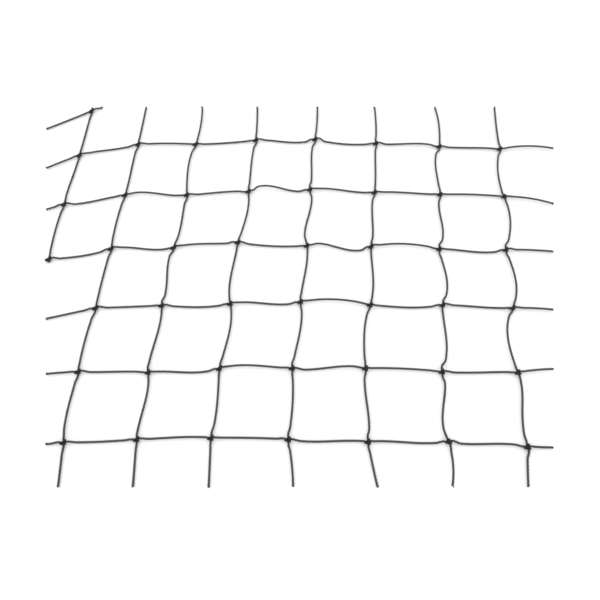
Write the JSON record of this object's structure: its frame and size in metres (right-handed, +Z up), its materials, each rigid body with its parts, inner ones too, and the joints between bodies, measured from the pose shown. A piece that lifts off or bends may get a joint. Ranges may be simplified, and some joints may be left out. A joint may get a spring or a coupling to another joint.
{
  "type": "bird netting",
  "caption": "Cut length of square-hung knotted bird netting in dark twisted twine, lying flat on a surface with slack, bowed bars and cut twine tails at its edges.",
  "frame": {"origin": "under the middle of the net, on the surface that it lies on", "axes": "+X along the row strands to the right, +Y along the column strands towards the wider, far edge, +Z up out of the surface"},
  "size_m": [0.4205, 0.3212, 0.0044],
  "materials": {
    "twine": "charcoal-black twisted polyethylene twine with a low sheen"
  },
  "bodies": {
    "root": {"netting": "twine"}
  },
  "joints": []
}
